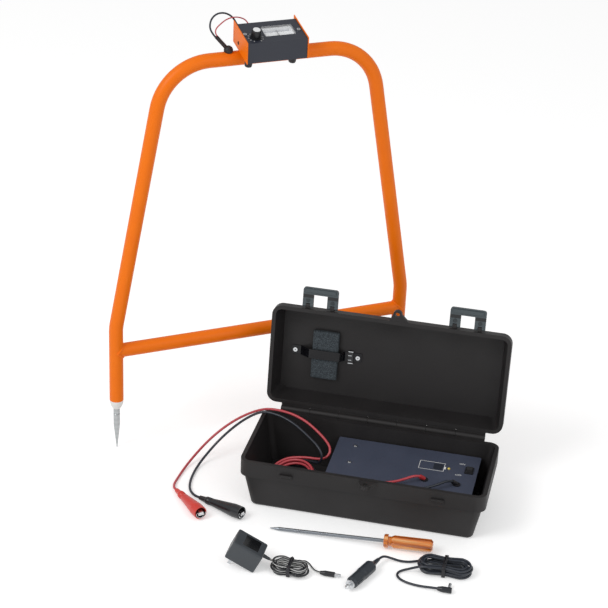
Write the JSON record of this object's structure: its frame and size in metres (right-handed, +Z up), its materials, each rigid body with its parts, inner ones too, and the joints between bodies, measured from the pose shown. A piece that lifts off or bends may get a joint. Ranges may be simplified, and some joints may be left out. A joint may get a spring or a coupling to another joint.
{
  "type": "ground fault locator",
  "caption": "Ground fault locator kit: A-frame receiver with ground spikes, pulse transmitter in a hinged carrying case with clip leads, ground stake, mains adapter and vehicle adapter.",
  "frame": {"origin": "centre of the underside of the carrying case, on the floor", "axes": "+X along the case to the right as seen from its front, +Y from the front to the hinge, +Z up"},
  "size_m": [0.709, 0.6661, 0.8112],
  "materials": {
    "case_plastic": "charcoal moulded plastic, light grain",
    "latch_plastic": "dark grey-green moulded plastic",
    "plated_steel": "zinc plated",
    "grey_foam": "open-cell foam, finely speckled",
    "black_webbing": "coated webbing, slightly glossy",
    "slate_blue_paint": "satin paint on sheet metal",
    "black_plastic": "semi-gloss moulding",
    "lamp_yellow": "clear tinted lens",
    "black_rubber": "soft vinyl and rubber",
    "red_rubber": "soft vinyl and rubber",
    "board_green": "coated laminate",
    "iron_core": "varnished laminations and winding",
    "chromed_steel": "bright plated",
    "orange_powder_coat": "powder coat on steel tube and sheet",
    "white_nylon": "turned nylon",
    "meter_plastic": "silver moulding with printed dial",
    "needle_paint": "dark painted pointer",
    "clear_window": "clear plastic",
    "knob_plastic": "black knob with a white cap",
    "amber_acetate": "translucent amber moulding"
  },
  "bodies": {
    "case": {"case_base": "case_plastic", "hinge_pin": "plated_steel", "transmitter_panel": "slate_blue_paint", "panel_screws": "plated_steel", "transmitter_tray": "black_plastic", "power_switch": "black_plastic", "panel_grommets": "black_rubber", "charge_lamp": "lamp_yellow", "transmitter_board": "board_green", "pulse_transformer": "iron_core", "storage_battery": "black_plastic", "red_lead": "red_rubber", "red_lead_coil": "red_rubber", "black_lead": "black_rubber", "black_lead_coil": "black_rubber", "red_clip_boot": "red_rubber", "black_clip_boot": "black_rubber", "fixed_jaws": "chromed_steel"},
    "rocker": {"power_rocker": "black_plastic"},
    "lid": {"case_lid": "case_plastic", "lid_pins": "plated_steel", "lid_pad": "grey_foam", "lid_strap": "black_webbing", "strap_fittings": "plated_steel"},
    "left_latch": {"latch_left": "latch_plastic"},
    "right_latch": {"latch_right": "latch_plastic"},
    "handle": {"carry_handle": "latch_plastic"},
    "red_jaw": {"red_moving_jaw": "chromed_steel"},
    "black_jaw": {"black_moving_jaw": "chromed_steel"},
    "a_frame": {"frame_tube": "orange_powder_coat", "cross_tube": "orange_powder_coat", "leg_insulators": "white_nylon", "ground_spikes": "plated_steel", "receiver_chassis": "orange_powder_coat", "receiver_cover": "slate_blue_paint", "receiver_screws": "plated_steel", "receiver_feet": "black_rubber", "tube_saddles": "plated_steel", "meter_case": "meter_plastic", "meter_window": "clear_window", "gain_control": "plated_steel", "receiver_board": "board_green", "receiver_battery": "black_plastic", "lead_grommets": "black_rubber", "receiver_leads": "black_rubber"},
    "needle": {"meter_needle": "needle_paint"},
    "knob": {"gain_knob": "knob_plastic"},
    "stake": {"stake_rod": "chromed_steel", "stake_handle": "amber_acetate"},
    "mains_adapter": {"adapter_top": "black_plastic", "adapter_base": "black_plastic", "adapter_core": "iron_core", "adapter_cord": "black_rubber", "adapter_hank": "black_rubber", "adapter_plug": "black_rubber"},
    "vehicle_adapter": {"car_plug_body": "black_plastic", "car_cord": "black_rubber", "car_hank": "black_rubber", "car_angle_plug": "black_rubber"},
    "vehicle_tip": {"car_plug_tip": "chromed_steel"}
  },
  "joints": [
    {"name": "lid_hinge", "type": "hinge", "parent": "case", "child": "lid", "pos_m": [0, 0.1035, 0.096], "axis": [1, 0, 0], "range_deg": [0, 68]},
    {"name": "left_latch_pivot", "type": "hinge", "parent": "lid", "child": "left_latch", "pos_m": [-0.131, 0.13947, 0.29443], "axis": [1, 0, 0], "range_deg": [-90, 90]},
    {"name": "right_latch_pivot", "type": "hinge", "parent": "lid", "child": "right_latch", "pos_m": [0.134, 0.13947, 0.29443], "axis": [1, 0, 0], "range_deg": [-90, 90]},
    {"name": "handle_pivot", "type": "hinge", "parent": "lid", "child": "handle", "pos_m": [0, 0.1694, 0.19126], "axis": [1, 0, 0], "range_deg": [0, 175]},
    {"name": "rocker_pivot", "type": "hinge", "parent": "case", "child": "rocker", "pos_m": [0.172, 0.027, 0.0715], "axis": [-1, 0, 0], "range_deg": [0, 18]},
    {"name": "red_jaw_pivot", "type": "hinge", "parent": "case", "child": "red_jaw", "pos_m": [-0.29605, -0.11723, 0.00989], "axis": [-0.738, -0.6748, 0], "range_deg": [0, 6], "stiffness_Nm_per_rad": 0.6},
    {"name": "black_jaw_pivot", "type": "hinge", "parent": "case", "child": "black_jaw", "pos_m": [-0.23782, -0.11139, 0.00989], "axis": [-0.413, -0.9107, 0], "range_deg": [0, 6], "stiffness_Nm_per_rad": 0.6},
    {"name": "a_frame_lift", "type": "slide", "parent": "case", "child": "a_frame", "axis": [0, 0, 1], "range_m": [0, 0.15]},
    {"name": "needle_swing", "type": "hinge", "parent": "a_frame", "child": "needle", "pos_m": [-0.23235, 0.18319, 0.77195], "axis": [0.1541, -0.2184, 0.9636], "range_deg": [-40, 40], "stiffness_Nm_per_rad": 0.0002},
    {"name": "gain_turn", "type": "hinge", "parent": "a_frame", "child": "knob", "pos_m": [-0.26626, 0.15147, 0.77807], "axis": [0.1541, -0.2184, 0.9636], "range_deg": [-150, 150]},
    {"name": "stake_lift", "type": "slide", "parent": "case", "child": "stake", "axis": [0, 0, 1], "range_m": [0, 0.12]},
    {"name": "mains_adapter_lift", "type": "slide", "parent": "case", "child": "mains_adapter", "axis": [0, 0, 1], "range_m": [0, 0.12]},
    {"name": "vehicle_adapter_lift", "type": "slide", "parent": "case", "child": "vehicle_adapter", "axis": [0, 0, 1], "range_m": [0, 0.12]},
    {"name": "vehicle_tip_press", "type": "slide", "parent": "vehicle_adapter", "child": "vehicle_tip", "axis": [0.3599, 0.933, 0], "range_m": [0, 0.004], "stiffness_N_per_m": 600}
  ]
}
